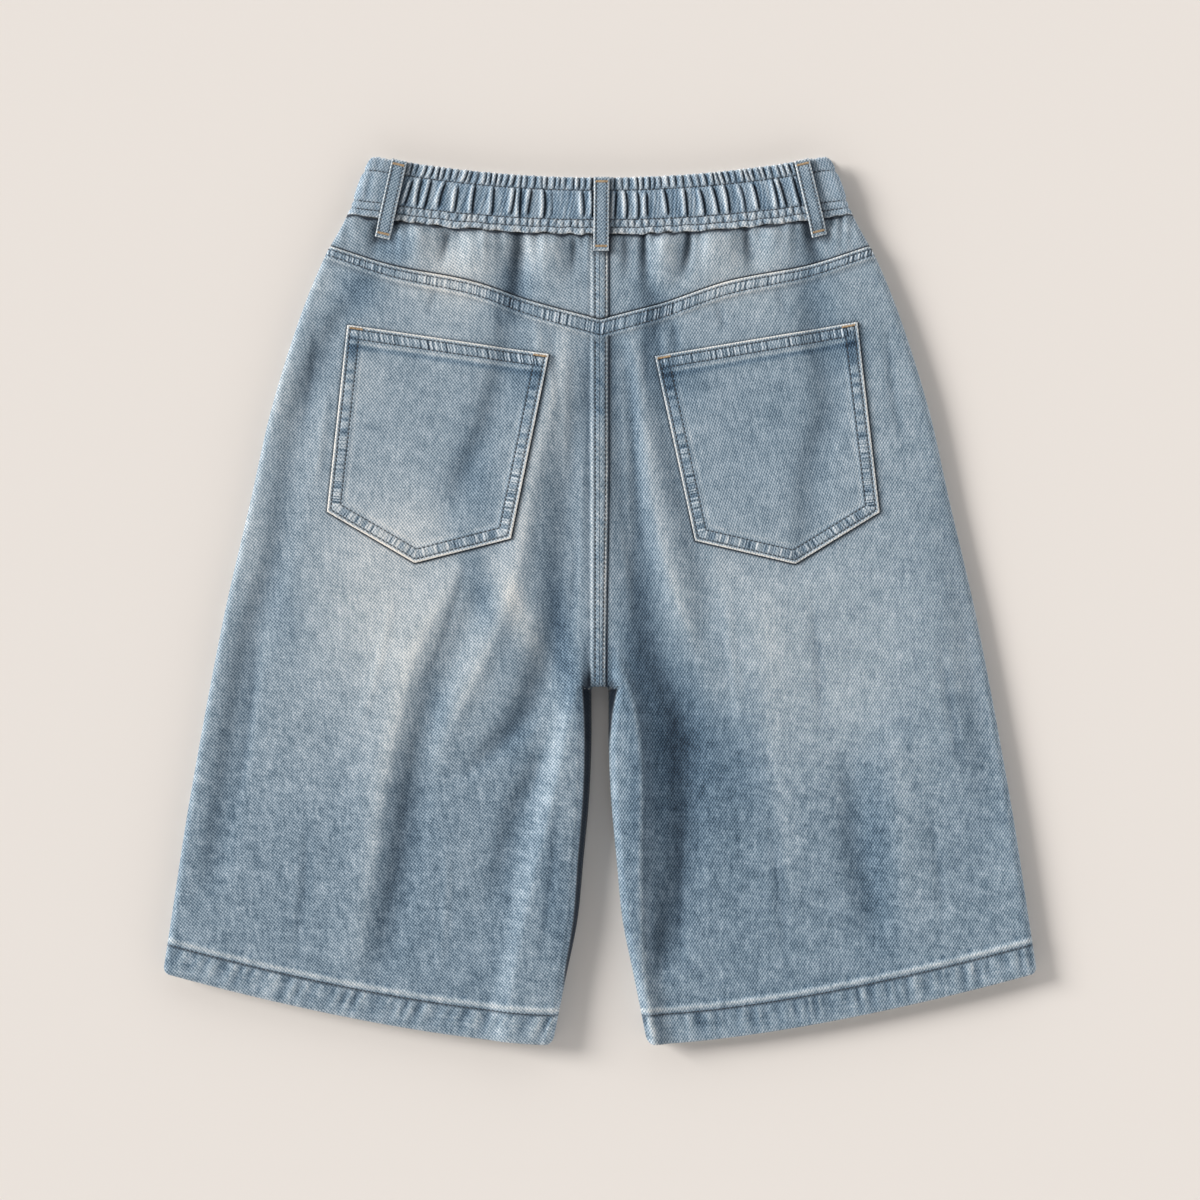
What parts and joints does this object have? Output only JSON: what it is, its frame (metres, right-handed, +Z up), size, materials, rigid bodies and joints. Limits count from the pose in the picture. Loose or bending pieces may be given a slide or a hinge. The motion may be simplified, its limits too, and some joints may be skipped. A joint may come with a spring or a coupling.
{
  "type": "denim shorts",
  "caption": "Wide-leg denim shorts with a gathered elastic waist, patch pockets and belt loops, laid flat with the back side up.",
  "frame": {"origin": "on the surface, under the middle of the laid garment's box", "axes": "+Z up from the surface, +Y from the hems to the waist, +X to the right as seen from above"},
  "size_m": [0.6292, 0.6378, 0.0205],
  "materials": {
    "denim": "light stone-washed blue twill"
  },
  "bodies": {
    "root": {"waistband_back": "denim", "waistband_front": "denim", "yoke_left": "denim", "yoke_right": "denim", "back_left": "denim", "back_right": "denim", "front_left": "denim", "front_right": "denim", "pocket_left": "denim", "pocket_right": "denim", "belt_loop_left": "denim", "belt_loop_centre": "denim", "belt_loop_right": "denim"}
  },
  "joints": []
}
